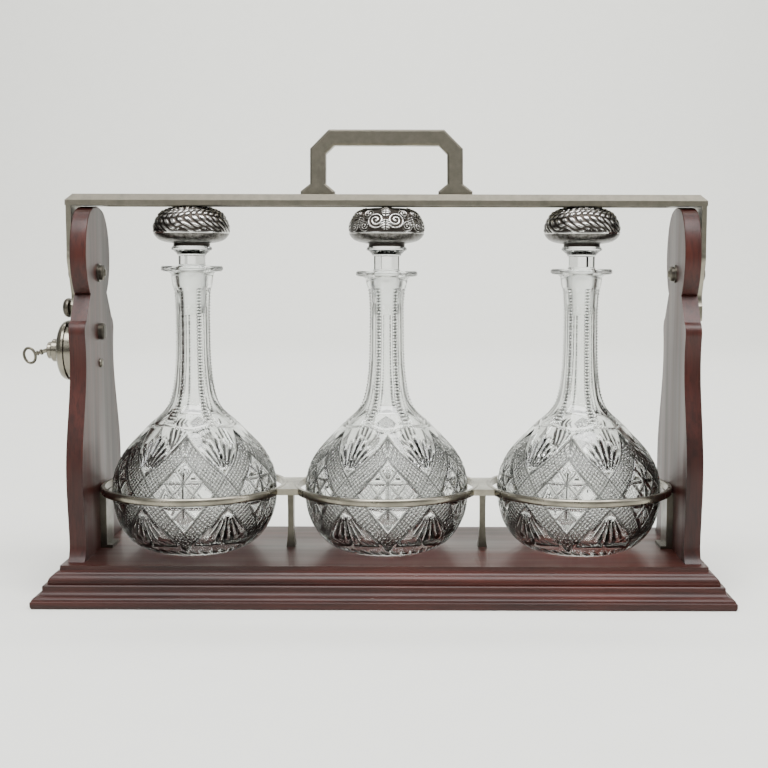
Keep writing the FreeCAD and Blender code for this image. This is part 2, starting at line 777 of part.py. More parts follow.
def key():
    """A small key: straight shank and bit in the lock, collar and oval bow outside, slightly bent."""
    shank = rod(KEY_SHANK, KEY_TIP, BEND)
    bit = box((-BIT_REACH, -BIT_HALF, BIT_LOW), (0, BIT_HALF, BIT_HIGH))
    outer = lathe(
        polygon(
            [
                (0, -0.6),
                (KEY_SHANK - 0.1, -0.6),
                (KEY_SHANK - 0.1, 3.2),
                (2.2, 3.9),
                (2.2, 5.0),
                (1.2, 5.8),
                (1.2, 6.5),
                (1.9, 7.0),
                (1.9, 7.7),
                (0.9, 8.3),
                (0.9, BOW_START - BEND + 0.6),
                (0, BOW_START - BEND + 0.6),
            ]
        )
    )
    centre = BOW_START - BEND + BOW_LENGTH / 2
    bow = oval_slab(0.0).cut(oval_slab(2 * BOW_WIRE))
    bow = bevelled(bow, BOW_WIRE * 0.5, lambda e: lies_at(e, "Z", BOW_WIRE) or lies_at(e, "Z", -BOW_WIRE))
    bow.rotate(V(0, 0, 0), V(1, 0, 0), 90)
    bow.translate(V(0, 0, centre))
    hanging = outer.fuse(bow)
    hanging.rotate(V(0, 0, 0), V(0, 1, 0), -KEY_DROOP)
    return shank.fuse([bit, moved(hanging, 0, 0, BEND)]).removeSplitter()


def lock_stud():
    return moved(rod(STUD_RADIUS, -PANEL_THICKNESS - 4.4, 0), STUD_UP)


def lock_screw():
    """A small screw from inside the panel into the lock's backplate."""
    head = -PANEL_THICKNESS
    body = lathe(
        [
            [(0, head - 1.8), (1.8, head - 1.8)],
            [(1.8, head - 1.8), (2.9, head - 1.2), (3.2, head)],
            [(3.2, head), (LOCK_SCREW_RADIUS, head)],
            [(LOCK_SCREW_RADIUS, head), (LOCK_SCREW_RADIUS, 0)],
            [(LOCK_SCREW_RADIUS, 0), (0, 0)],
            [(0, 0), (0, head - 1.8)],
        ]
    )
    slot = box((-4, -0.4, head - 2), (4, 0.4, head - 1.1))
    return moved(body.cut(slot), LOCK_SCREW_UP)


# ---------------------------------------------------------------- assembly
def build():
    nodes = {}

    # Base: two boards and their screws.
    long_screws = panel_screws()
    short_screws = board_screws()
    drilled = Part.makeCompound([access_hole(s) for s in long_screws + short_screws])
    nodes["base_plinth"] = moulded_board(PLINTH_EDGE).cut(drilled)
    nodes["base_board"] = moulded_board(BOARD_EDGE).cut(drilled)
    nodes["panel_screws"] = Part.makeCompound(long_screws)
    nodes["board_screws"] = Part.makeCompound(short_screws)

    # End panels with the holes for pivot, screws, bracket and lock.
    blank = panel_blank()
    pivot_hole = on_right(rod(PIVOT_SHANK, -20, 20), PIVOT_Z)
    screws_right = on_right(bracket_screw(), BRACKET_SCREW_Z)
    screws_left = on_left(bracket_screw(), BRACKET_SCREW_Z)
    right = blank.cut(pivot_hole).cut(drilled).cut(screws_right)
    left = blank.mirror(V(0, 0, 0), V(1, 0, 0))
    left = left.cut(on_left(rod(PIVOT_SHANK, -20, 20), PIVOT_Z)).cut(drilled).cut(screws_left)
    left = left.cut(on_left(lock_stud(), LOCK_Z)).cut(on_left(lock_screw(), LOCK_Z))
    nodes["end_panel_right"] = right
    nodes["end_panel_left"] = left

    # Cradle.
    hoop = ring()
    hoops = Part.makeCompound([moved(hoop, x) for x in BOTTLES.values()])
    for name, x in BOTTLES.items():
        nodes["ring_" + name] = moved(hoop, x)
    bracket = end_bracket()
    for side, sign, screw in (("left", -1, screws_left), ("right", 1, screws_right)):
        nodes["bridge_" + side] = bridge(sign * BOTTLE_PITCH / 2, hoops)
        nodes["pillar_" + side] = pillar(sign * BOTTLE_PITCH / 2)
        flipped = bracket if sign > 0 else bracket.mirror(V(0, 0, 0), V(1, 0, 0))
        nodes["end_bracket_" + side] = flipped.cut(screw)
    nodes["bracket_screws"] = Part.makeCompound([screws_left, screws_right])

    # Decanters with their stoppers.
    for name, x in BOTTLES.items():
        nodes["decanter_" + name] = moved(decanter(LIP_TOPS[name]), x)
        nodes["stopper_glass_" + name] = moved(stopper_glass(LIP_TOPS[name]), x)
        nodes["stopper_cap_" + name] = moved(stopper_cap(), x)

    # Locking bar.
    arm_right = arm(notched=False)
    arm_left = arm(notched=True).mirror(V(0, 0, 0), V(1, 0, 0))
    screws = handle_screws()
    fixings = Part.makeCompound(screws)
    nodes["arm_right"] = arm_right
    nodes["arm_left"] = arm_left
    nodes["top_bar"] = top_bar(Part.makeCompound([arm_left, arm_right] + screws))
    nodes["bar_lip_front"] = bar_lip(-1)
    nodes["bar_lip_back"] = bar_lip(1)
    nodes["bar_end_left"] = bar_end(-1, arm_left)
    nodes["bar_end_right"] = bar_end(1, arm_right)
    nodes["handle"] = handle(fixings)
    nodes["handle_screws"] = fixings
    nodes["thumb_knob"] = thumb_knob()

    # Pivots.
    for side, place in (("left", on_left), ("right", on_right)):
        nodes["pivot_bolt_" + side] = place(pivot_bolt(), PIVOT_Z)
        nodes["pivot_spacer_" + side] = place(pivot_spacer(), PIVOT_Z)
        nodes["pivot_washer_" + side] = place(pivot_washer(), PIVOT_Z)
        nodes["pivot_nut_" + side] = place(round_nut(PIVOT_SHANK, 5.4, PANEL_THICKNESS + 1.1, 3.4), PIVOT_Z)

    # Lock.
    lock_pieces = {
        "lock_backplate": lock_backplate(),
        "lock_case": lock_case(),
        "lock_barrel": lock_barrel(),
        "lock_bolt": lock_bolt(),
        "lock_stud": lock_stud(),
        "lock_nut": moved(round_nut(STUD_RADIUS, 6.0, PANEL_THICKNESS, 4.2), STUD_UP),
        "lock_screw": lock_screw(),
        "key": key(),
    }
    for name, shape in lock_pieces.items():
        nodes[name] = on_left(shape, LOCK_Z)
    return nodes


os.makedirs("parts", exist_ok=True)
for node_name, node_shape in build().items():
    node_shape.exportStep(os.path.join("parts", node_name + ".step"))
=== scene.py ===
"""Looks for a three-bottle decanter stand: timber, plated metal, embossed silver and cut glass."""

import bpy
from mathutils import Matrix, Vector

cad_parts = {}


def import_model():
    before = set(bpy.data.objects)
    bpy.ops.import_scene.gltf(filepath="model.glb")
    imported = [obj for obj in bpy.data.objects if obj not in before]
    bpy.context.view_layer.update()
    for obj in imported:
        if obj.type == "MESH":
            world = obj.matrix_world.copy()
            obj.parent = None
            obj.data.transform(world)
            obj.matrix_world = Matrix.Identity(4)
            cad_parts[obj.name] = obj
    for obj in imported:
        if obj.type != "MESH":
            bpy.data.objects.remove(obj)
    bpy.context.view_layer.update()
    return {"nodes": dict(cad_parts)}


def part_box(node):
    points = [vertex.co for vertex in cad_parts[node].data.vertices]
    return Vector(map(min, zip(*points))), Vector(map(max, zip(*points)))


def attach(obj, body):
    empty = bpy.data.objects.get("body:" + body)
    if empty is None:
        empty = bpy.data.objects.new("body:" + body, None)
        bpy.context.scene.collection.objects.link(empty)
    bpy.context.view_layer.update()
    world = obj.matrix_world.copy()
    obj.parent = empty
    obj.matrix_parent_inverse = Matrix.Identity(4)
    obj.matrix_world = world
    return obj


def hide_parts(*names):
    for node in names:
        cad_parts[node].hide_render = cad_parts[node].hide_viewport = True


bl_info = {
    "name": "Decanter Stand",
    "version": (1, 0, 0),
    "blender": (4, 5, 0),
    "location": "View3D > Sidebar > Stand",
    "description": "Cut-glass decanters and stoppers, and the finishes of their locking stand",
    "category": "Add Mesh",
}

import math

import bmesh
import bpy
import numpy as np
from bpy.props import FloatProperty, FloatVectorProperty, IntProperty, PointerProperty
from mathutils import Vector

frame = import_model()

MM = 0.001
SIDES = ("left", "middle", "right")
TURN = 2 * math.pi
NO_TRIANGLES = np.zeros((0, 3), int)


def middle_x(node):
    """Where the middle of a CAD node lies across the stand, in metres."""
    low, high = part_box(node)
    return (low[0] + high[0]) / 2


def scaled(values, by):
    """Each value times the same number."""
    return [v * by for v in values]


# ---------------------------------------------------------------- settings
def length(name, description, default):
    """A setting in metres."""
    return FloatProperty(
        name=name, description=description, default=default, unit="LENGTH", precision=4
    )


def angle(name, description, default):
    """A setting in radians."""
    return FloatProperty(name=name, description=description, default=default, subtype="ANGLE")


def power(name, default):
    """The power of a lamp, in watts."""
    return FloatProperty(name=name, description="Power of the lamp", default=default, min=0)


def colour(name, description, default):
    """A colour setting."""
    return FloatVectorProperty(
        name=name, description=description, default=default, subtype="COLOR", size=3, min=0, max=1
    )


class CutSettings(bpy.types.PropertyGroup):
    """How the glass is cut."""

    repeats: IntProperty(name="Repeats", description="Diamonds round each globe", default=6, min=3)
    mitre_width: length("Mitre width", "Half width of the long mitre cuts", 1.5 * MM)
    mitre_depth: length("Mitre depth", "Depth of the long mitre cuts", 1.3 * MM)
    hatch_pitch: length("Hatch pitch", "Spacing of the fine diamond hatching", 2.3 * MM)
    hatch_depth: length("Hatch depth", "Depth of the fine diamond hatching", 1.1 * MM)
    fan_depth: length("Fan depth", "Depth of the radiating fan cuts", 1.6 * MM)
    notch_pitch: length("Notch pitch", "Spacing of the notches down the neck's ridges", 2.2 * MM)
    columns: IntProperty(name="Columns", description="Columns round the globe", default=480, min=60)


class FinishSettings(bpy.types.PropertyGroup):
    """Colours of the materials."""

    wood_dark: colour("Mahogany, dark", "Dark grain of the timber", (0.011, 0.0030, 0.0022))
    wood_light: colour("Mahogany, light", "Light grain of the timber", (0.052, 0.0103, 0.0066))
    nickel: colour("Plate", "Satin plate of the bar and cradle", (0.30, 0.278, 0.225))
    silver: colour("Silver", "Raised parts of the embossed caps", (0.80, 0.79, 0.76))
    # The tarnish colour is also painted as shade on the caps' plain undersides and collars.
    tarnish: colour("Tarnish", "Hollows of the caps and dark fittings", (0.035, 0.030, 0.026))
    glass: colour("Glass", "Tint of the crystal", (0.985, 0.99, 0.985))


class StudioSettings(bpy.types.PropertyGroup):
    """Camera and light."""

    distance: length("Camera distance", "Camera in front of the stand's middle", 0.9107)
    height: length("Camera height", "Camera above the floor", 0.2361)
    sideways: length("Camera offset", "Camera to the right of the stand's middle", 0.026)
    tilt: angle("Tilt", "Downward tilt", 0.0981)
    pan: angle("Pan", "Turn to the left", 0.00307)
    lens: FloatProperty(name="Lens", description="Focal length in millimetres", default=58.69)
    shift: FloatProperty(name="Shift", description="Sideways lens shift", default=-0.04525)
    roll: angle("Roll", "Turn about the view axis", 0.0022)
    overhead: power("Overhead", 84.0)
    backdrop_wash: power("Backdrop wash", 145.0)
    front_fill: power("Front fill", 9.0)
    side_strip: power("Side strip", 7.0)
    floor: colour("Floor", "Colour of the floor and backdrop", (0.84, 0.845, 0.80))


class StandSettings(bpy.types.PropertyGroup):
    """All settings of the stand."""

    cut: PointerProperty(type=CutSettings)
    finish: PointerProperty(type=FinishSettings)
    studio: PointerProperty(type=StudioSettings)


def settings():
    """The settings of the open scene."""
    return bpy.context.scene.decanter_stand


# ---------------------------------------------------------------- mesh tools
def smooth_line(points, step):
    """Even samples, step apart, of the natural cubic spline through the points."""
    knots = np.array(points, float)
    gaps = np.hypot(*np.diff(knots, axis=0).T)
    at = np.concatenate([[0.0], np.cumsum(gaps)])
    count = len(knots)
    system = np.eye(count)
    wanted = np.zeros((count, 2))
    for i in range(1, count - 1):
        system[i, i - 1 : i + 2] = gaps[i - 1], 2 * (gaps[i - 1] + gaps[i]), gaps[i]
        ahead, behind = knots[i + 1] - knots[i], knots[i] - knots[i - 1]
        wanted[i] = 6 * (ahead / gaps[i] - behind / gaps[i - 1])
    bend = np.linalg.solve(system, wanted)
    u = np.linspace(0, at[-1], max(2, round(at[-1] / step) + 1))
    k = np.clip(np.searchsorted(at, u) - 1, 0, count - 2)
    before = (u - at[k])[:, None]
    after = (at[k + 1] - u)[:, None]
    gap = gaps[k][:, None]
    ends = (bend[k] * after**3 + bend[k + 1] * before**3) / (6 * gap)
    start = (knots[k] / gap - bend[k] * gap / 6) * after
    stop = (knots[k + 1] / gap - bend[k + 1] * gap / 6) * before
    return ends + start + stop


def straight_line(points, step):
    """Samples along straight runs through the points, about step apart, corners kept."""
    out = [np.array(points[:1], float)]
    for a, b in zip(points, points[1:]):
        pieces = max(1, round(math.dist(a, b) / step))
        share = np.linspace(0, 1, pieces + 1)[1:, None]
        out.append(np.array(a) + share * (np.array(b) - np.array(a)))
    return np.concatenate(out)


def arc_length(profile):
    """Distance along the profile to each of its points."""
    return np.concatenate([[0.0], np.cumsum(np.hypot(*np.diff(profile, axis=0).T))])


def turned_rows(profile, columns, cut=None):
    """Rings of points round the Z axis for each (radius, height) of the profile, in millimetres.
    cut(theta, arc, radius, height) gives how deep the surface is cut, square to the profile."""
    theta = np.arange(columns) * TURN / columns
    radius, height = profile[:, :1], profile[:, 1:]
    along = np.gradient(profile, axis=0)
    along /= np.maximum(np.hypot(along[:, 0], along[:, 1]), 1e-9)[:, None]
    depth = np.zeros((len(profile), columns))
    if cut is not None:
        depth += cut(theta[None, :], arc_length(profile)[:, None], radius, height)
    r = radius - depth * along[:, 1:]
    z = height + depth * along[:, :1]
    return np.stack([r * np.sin(theta), -r * np.cos(theta), z], axis=2)


def point_ring(height):
    """A ring of one point on the axis, which closes an end."""
    return np.array([[0.0, 0.0, height]])


def skin(rings):
    """Points, quads and triangles of the surface through the rings. A ring may have a whole
    multiple of the next one's columns, and a ring of one point closes an end."""
    starts = np.cumsum([0] + [len(r) for r in rings])
    quads, tris = [], []
    for i, (low, high) in enumerate(zip(rings, rings[1:])):
        a, b = starts[i], starts[i + 1]
        n, m = len(low), len(high)
        if n == m:
            j = np.arange(n)
            k = (j + 1) % n
            quads.append(np.stack([a + j, a + k, b + k, b + j], 1))
        elif m == 1:
            j = np.arange(n)
            tris.append(np.stack([a + j, a + (j + 1) % n, np.full(n, b)], 1))
        elif n == 1:
            j = np.arange(m)
            tris.append(np.stack([np.full(m, a), b + (j + 1) % m, b + j], 1))
        elif n > m:
            k = n // m
            j = np.arange(n)
            tris.append(np.stack([a + j, a + (j + 1) % n, b + j // k], 1))
            j = np.arange(m)
            tris.append(np.stack([a + (j + 1) * k % n, b + (j + 1) % m, b + j], 1))
        else:
            raise ValueError("rings may only lose columns from one to the next")
    points = np.concatenate(rings)
    return points, np.concatenate(quads), np.concatenate(tris or [NO_TRIANGLES])


def make_mesh(name, points, quads, tris, sharp=None):
    """A mesh in metres from points in millimetres, smooth but for edges over the given degrees."""
    mesh = bpy.data.meshes.new(name)
    corners = np.concatenate([quads.ravel(), tris.ravel()]).astype(np.int32)
    starts = np.concatenate([np.arange(len(quads)) * 4, len(quads) * 4 + np.arange(len(tris)) * 3])
    mesh.vertices.add(len(points))
    mesh.vertices.foreach_set("co", (np.asarray(points, float) * MM).ravel())
    mesh.loops.add(len(corners))
    mesh.loops.foreach_set("vertex_index", corners)
    mesh.polygons.add(len(starts))
    mesh.polygons.foreach_set("loop_start", starts.astype(np.int32))
    mesh.update(calc_edges=True)
    mesh.shade_smooth()
    if sharp is not None:
        mesh.set_sharp_from_angle(angle=math.radians(sharp))
    return mesh


def weld(mesh):
    """Joins points that lie on each other, where a closed section meets itself."""
    work = bmesh.new()
    work.from_mesh(mesh)
    bmesh.ops.remove_doubles(work, verts=work.verts, dist=1e-6)
    work.to_mesh(mesh)
    work.free()


def record(mesh, name, values):
    """Keeps a number for each point, for the material to read."""
    values = np.asarray(values, np.float32)
    mesh.attributes.new(name, "FLOAT", "POINT").data.foreach_set("value", values)


def place(name, mesh, materials, node, body, turn=0.0):
    """Puts a turned mesh on the upright axis of the CAD node that it stands for."""
    piece = bpy.data.objects.new(name, mesh)
    bpy.context.scene.collection.objects.link(piece)
    piece.location = (middle_x(node), 0, 0)
    piece.rotation_euler = (0, 0, turn)
    if not mesh.materials:
        for material in materials:
            mesh.materials.append(material)
    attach(piece, body)
    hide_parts(node)


def finish_nodes(nodes, material):
    """Gives carried-over CAD nodes their material."""
    for node in nodes:
        for slot in frame["nodes"][node].material_slots:
            slot.material = material


# ---------------------------------------------------------------- materials
# How often the textures vary, per metre.
FIGURE, PORES, MOTTLE, SHEEN = 42.0, 520.0, 9.0, 60.0  # timber
CLOUDS, WEAR = 55.0, 900.0  # plate
PATINA = 420.0  # silver
FLECKS = 30.0  # backdrop

LEAD_GLASS = 1.58  # refractive index


class Shader:
    """The node tree of a new material or world, built by short calls."""

    def __init__(self, name, world=False):
        self.owner = (bpy.data.worlds if world else bpy.data.materials).new(name)
        self.owner.use_nodes = True
        self.tree = self.owner.node_tree
        self.tree.nodes.clear()
        self.output = self.node("OutputWorld" if world else "OutputMaterial")

    def node(self, kind, inputs=None, **values):
        made = self.tree.nodes.new("ShaderNode" + kind)
        for key, value in values.items():
            setattr(made, key, value)
        for key, value in (inputs or {}).items():
            if isinstance(value, bpy.types.NodeSocket):
                self.tree.links.new(value, made.inputs[key])
            else:
                made.inputs[key].default_value = value
        return made

    def surface(self, shader):
        """Ends the tree with a shader; returns the material or world."""
        self.tree.links.new(shader, self.output.inputs["Surface"])
        return self.owner

    def principled(self, **inputs):
        named = {key.replace("_", " "): value for key, value in inputs.items()}
        return self.surface(self.node("BsdfPrincipled", named).outputs[0])

    def where(self, axis=0, stretch=1.0):
        """Object coordinates, in metres, multiplied along one axis."""
        scale = [1.0, 1.0, 1.0]
        scale[axis] = stretch
        plain = self.node("TexCoord").outputs["Object"]
        return self.node("Mapping", {"Vector": plain, "Scale": scale}).outputs[0]

    def noise(self, scale, coordinates, detail=3.0, roughness=0.5, distortion=0.0):
        inputs = {
            "Vector": coordinates,
            "Scale": scale,
            "Detail": detail,
            "Roughness": roughness,
            "Distortion": distortion,
        }
        return self.node("TexNoise", inputs).outputs["Fac"]

    def ramp(self, factor, stops):
        """A colour ramp; stops are (position, colour)."""
        made = self.node("ValToRGB", {"Fac": factor})
        band = made.color_ramp
        while len(band.elements) < len(stops):
            band.elements.new(0.5)
        for element, (position, value) in zip(band.elements, stops):
            element.position = position
            element.color = rgba(value)
        return made.outputs["Color"]

    def spread(self, factor, low, high, from_low=0.0, from_high=1.0):
        """Maps a factor onto a range of plain numbers."""
        inputs = {
            "Value": factor,
            "From Min": from_low,
            "From Max": from_high,
            "To Min": low,
            "To Max": high,
        }
        return self.node("MapRange", inputs).outputs[0]

    def multiply(self, factor, a, b):
        """Colour a multiplied by colour b, as far as the factor says."""
        colours = {0: factor, 6: a, 7: b}
        return self.node("Mix", colours, data_type="RGBA", blend_type="MULTIPLY").outputs[2]

    def bump(self, height, strength, distance):
        inputs = {"Height": height, "Strength": strength, "Distance": distance}
        return self.node("Bump", inputs).outputs[0]


def rgba(value):
    """An opaque colour."""
    return (*value, 1.0)


def mahogany(name, along):
    """Polished dark mahogany whose grain runs along the given axis (0, 1 or 2)."""
    finish = settings().finish
    s = Shader(name)
    figure = s.noise(FIGURE, s.where(along, 0.06), detail=6.0, roughness=0.62, distortion=0.6)
    streaks = s.noise(PORES, s.where(along, 0.035), detail=3.0, roughness=0.6)
    mottle = s.noise(MOTTLE, s.where(), detail=2.0)
    sheen = s.noise(SHEEN, s.where(along, 0.06), detail=4.0)
    dark, light = finish.wood_dark, finish.wood_light
    middle = [(a + b) * 0.45 for a, b in zip(dark, light)]
    base = s.ramp(figure, [(0.30, dark), (0.52, middle), (0.72, light)])
    fine = s.ramp(streaks, [(0.34, (0.45, 0.42, 0.42)), (0.55, (1.0, 1.0, 1.0))])
    worn = s.ramp(mottle, [(0.35, (0.78, 0.76, 0.76)), (0.7, (1.25, 1.18, 1.12))])
    return s.principled(
        Base_Color=s.multiply(1.0, s.multiply(0.75, base, fine), worn),
        Roughness=s.spread(sheen, 0.36, 0.52, from_low=0.3, from_high=0.7),
        Specular_IOR_Level=0.30,
        Coat_Weight=0.05,
        Coat_Roughness=0.12,
        Normal=s.bump(streaks, strength=0.12, distance=0.0004),
    )


def plate(name, tint, rough, dirt=0.35, dark=None):
    """Aged satin plate: cloudy tarnish, fine wear and small scratches."""
    s = Shader(name)
    clouds = s.noise(CLOUDS, s.where(), detail=5.0, roughness=0.6)
    wear = s.noise(WEAR, s.where(0, 0.15), detail=2.0)
    stops = [(0.5 - dirt * 0.5, dark or scaled(tint, 0.55)), (0.5 + dirt * 0.45, tint)]
    return s.principled(
        Base_Color=s.ramp(clouds, stops),
        Metallic=1.0,
        Roughness=s.spread(clouds, rough * 1.25, rough * 0.85, from_low=0.3, from_high=0.7),
        Normal=s.bump(wear, strength=0.08, distance=0.0002),
    )


def embossed_silver():
    """Silver with oxidised hollows, and painted shade on the plain underside and the collar; the
    mesh says how deep each point lies and how much shade is painted there.
    """
    silver, tarnish = settings().finish.silver, settings().finish.tarnish
    s = Shader("embossed_silver")
    # The hollow attribute holds the oxide in the embossing's hollows, and painted shade on the
    # plain underside and collar.
    depth = s.node("Attribute", attribute_name="hollow").outputs["Fac"]
    patina = s.noise(PATINA, s.where(), detail=4.0, roughness=0.65)
    parts = {0: depth, 1: s.spread(patina, -0.16, 0.16)}
    painted_shade_and_oxide = s.node("Math", parts, operation="ADD").outputs[0]
    between = [a * 0.45 + b * 0.2 for a, b in zip(silver, tarnish)]
    return s.principled(
        Base_Color=s.ramp(painted_shade_and_oxide, [(0.06, silver), (0.30, between), (0.55, tarnish)]),
        Metallic=1.0,
        Roughness=s.spread(painted_shade_and_oxide, 0.16, 0.45),
        Normal=s.bump(patina, strength=0.1, distance=0.0002),
    )


def crystal(name, rough=0.0, paints_cut_shade=False):
    """Lead crystal that lets lamplight through; where it is cut, its colour is painted darker the
    deeper the cut lies, as painted shade.
    """
    s = Shader(name)
    tint = settings().finish.glass
    here = rgba(tint)
    if paints_cut_shade:
        # Painted shade: the cut attribute darkens the glass colour in deep cuts.
        depth = s.node("Attribute", attribute_name="cut").outputs["Fac"]
        here = s.ramp(depth, [(0.28, tint), (0.58, scaled(tint, 0.52)), (0.95, scaled(tint, 0.16))])
    glass = s.node("BsdfGlass", {"Color": here, "Roughness": rough, "IOR": LEAD_GLASS})
    clear = s.node("BsdfTransparent", {"Color": rgba(scaled(tint, 0.94))})
    in_shadow = s.node("LightPath").outputs["Is Shadow Ray"]
    both = {0: in_shadow, 1: glass.outputs[0], 2: clear.outputs[0]}
    return s.surface(s.node("MixShader", both).outputs[0])


# ---------------------------------------------------------------- timber
class STAND_OT_timber(bpy.types.Operator):
    """Gives the base boards and the end panels their polished mahogany"""

    bl_idname = "stand.timber"
    bl_label = "Timber"

    def execute(self, context):
        finish_nodes(["base_plinth", "base_board"], mahogany("mahogany_boards", 0))
        finish_nodes(["end_panel_left", "end_panel_right"], mahogany("mahogany_panels", 2))
        return {"FINISHED"}


# ---------------------------------------------------------------- cut glass
LIP_TOPS = {"left": 232.1, "middle": 228.7, "right": 230.5}  # heights of the three lips
LIP_RADIUS = 22.3
LIP_THICK = 3.9
FOOT = 26.6  # height of the rim that the bottle stands on
HOLLOW_FOOT = 1.6  # how far the middle of the underside lies above it
GLOBE_OUTLINE = [
    (35.4, FOOT), (44.4, 31.4), (52.4, 40.5), (57.6, 52.0), (60.0, 68.0), (57.8, 84.0),
    (50.4, 97.5), (39.0, 110.3), (30.0, 119.4), (21.8, 127.6), (17.6, 136.0), (15.3, 146.0),
    (13.6, 163.0), (13.1, 185.0), (13.7, 212.0),
]
GLOBE_INSIDE = [
    (9.0, 202.0), (9.0, 185.0), (9.5, 163.0), (11.0, 146.0), (14.0, 132.5), (21.0, 122.0),
    (32.0, 109.5), (43.0, 98.0), (51.0, 85.5), (54.4, 68.0), (51.6, 52.5), (45.0, 41.5),
    (35.0, 35.6), (20.0, 33.4),
]
GLOBE_FLOOR = 33.2  # height of the inside's lowest point
SHOULDER = 121.0  # height where the globe's close mesh gives way to the neck's
CLOSE, COARSE = 0.6, 2.0  # spacing of the mesh's rows on cut and on plain glass

# The ground taper that stopper and socket share.
PLUG_TIP = 197.0
PLUG_TIP_RADIUS = 7.9
PLUG_TAPER = 0.06

# Heights where the long mitre lines cross the middle of a diamond and the gap between two.
OUTER_TOP = (112.7, 85.8)
INNER_TOP = (99.9, 65.1)
INNER_LOW = (45.7, 85.8)
OUTER_LOW = (32.8, 65.1)

STARS = (82.4, 65.5)  # heights of the two star centres
STAR_CUT = (1.0, 1.1)  # half width and depth of a star's cuts
STAR_REACH = 8.5  # length of its upright cut from the centre

# Fans: bearings of the rays in degrees, then how far from the fan's point they start and end.
TIP_FAN = ((0.0, 17.0, 34.0), 3.0, 12.5)
UPPER_FAN = ((0.0, 11.0, 22.0, 33.0), 5.0, 35.0)
LOWER_FAN = ((0.0, 12.5, 25.0, 37.0), 5.0, 33.0)
TIP_FAN_DEPTH = 0.5
TIP_FAN_INSET = 2.0  # from the corner of the diamond
FAN_MARGIN = 0.6  # that the big fans keep from the mitre lines
UPPER_FAN_ENDS = (114.5, 118.5)  # heights between which the rays of the upper fans die out
LOWER_FAN_ENDS = (31.0, 35.0)
RAY_HALF, RAY_SPREAD = 0.30, 0.055  # half width of a ray, and its growth per millimetre of reach
RAY_LOSS = 0.10  # how much shorter each next ray is, outwards from the middle

BORDER = 118.0  # height of the line over the upper fans
BORDER_WAVE = 1.6
BORDER_CUT = (0.9, 0.6)  # half width and depth

PETALS = 40
PETAL_SLANT = 0.09  # share of a petal per millimetre of rise
PETAL_HALF = 0.36  # half width, as a share of the petals' spacing
PETAL_DEPTH = 0.8
PETAL_BAND = (28.0, 33.4, 1.5, 1.8)  # heights they lie between, and how far they ease in and out

FLUTE_LOW, FLUTE_HIGH = 119.0, 219.0  # heights between which the neck is fluted
FLUTE_EASE = (21.0, 7.0)  # how far the flutes take to die in and out
RIDGE_EASE = (5.0, 4.0)  # the same for the ridges' cuts
FLUTE_SHARE = 0.85  # how nearly flat the flutes are
RIDGE_HALF = 2.1  # half width of the notched ridges
NOTCH_DEPTH = 1.6
GROOVE_AT = 2.4  # from the ridge's middle to the groove beside it
GROOVE_CUT = (0.9, 0.7)  # half width and depth


def plug_radius(height):
    return PLUG_TIP_RADIUS + PLUG_TAPER * (height - PLUG_TIP)


def vee(distance, half_width, depth):
    """Depth of a vee cut at a distance from its bottom line."""
    return depth * np.clip(1 - np.abs(distance) / half_width, 0, None)


def eased(value, low, high):
    """0 below low and 1 above high, with a smooth step between."""
    share = np.clip((value - low) / (high - low), 0, 1)
    return share * share * (3 - 2 * share)


def window(value, low, high, rise, fall):
    """1 between low and high and 0 outside, easing in over rise and out over fall."""
    return eased(value, low, low + rise) * eased(-value, -high, fall - high)


def nearest(value, pitch):
    """Signed distance from the nearest multiple of pitch."""
    return (value + pitch / 2) % pitch - pitch / 2


